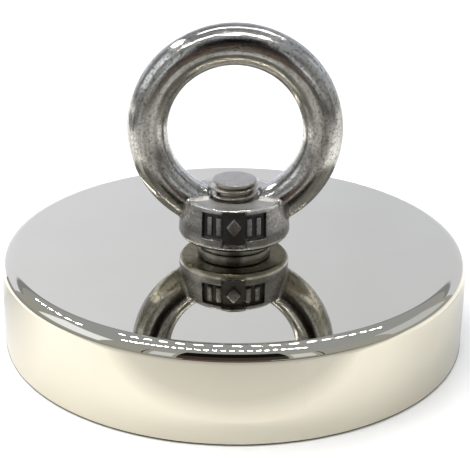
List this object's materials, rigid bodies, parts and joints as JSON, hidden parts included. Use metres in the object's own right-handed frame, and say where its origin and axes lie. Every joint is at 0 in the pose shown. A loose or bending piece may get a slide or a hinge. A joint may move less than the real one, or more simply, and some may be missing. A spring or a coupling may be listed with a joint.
{
  "type": "magnet fishing magnet",
  "caption": "Round single-sided pot magnet with a polished cup, ring magnet, recessed countersunk bolt, lock washer and a screw-on eye nut for a rope.",
  "frame": {"origin": "centre of the working face, in the plane of the cup's steel rim", "axes": "+Z along the bolt, from the working face towards the eye; the eye's ring lies in the XZ plane, so a rope passes through it along Y"},
  "size_m": [0.097, 0.097, 0.0666],
  "materials": {
    "nickel_polished": "mirror-polished nickel plate on mild steel",
    "magnet_plating": "satin nickel plate on sintered neodymium magnet",
    "resin": "dark cured epoxy resin",
    "bolt_steel": "turned stainless steel",
    "washer_steel": "rolled spring steel, satin",
    "cast_stainless": "cast stainless steel, satin-polished, fine grain"
  },
  "bodies": {
    "magnet_body": {"pot_shell": "nickel_polished", "magnet_ring": "magnet_plating", "magnet_bond": "resin", "side_fill": "resin", "countersunk_bolt": "bolt_steel", "bolt_sleeve": "resin"},
    "washer": {"lock_washer": "washer_steel"},
    "eye": {"eye_nut": "cast_stainless"}
  },
  "joints": [
    {"name": "eye_turn", "type": "hinge", "parent": "magnet_body", "child": "washer", "pos_m": [0, 0, 0.0197], "axis": [0, 0, 1], "range_deg": [0, 2970]},
    {"name": "eye_lift", "type": "slide", "parent": "washer", "child": "eye", "axis": [0, 0, 1], "range_m": [0, 0.01238]}
  ],
  "couplings": [
    {"joint": "eye_lift", "follows": "eye_turn", "m_per_rad": 0.00023873}
  ]
}
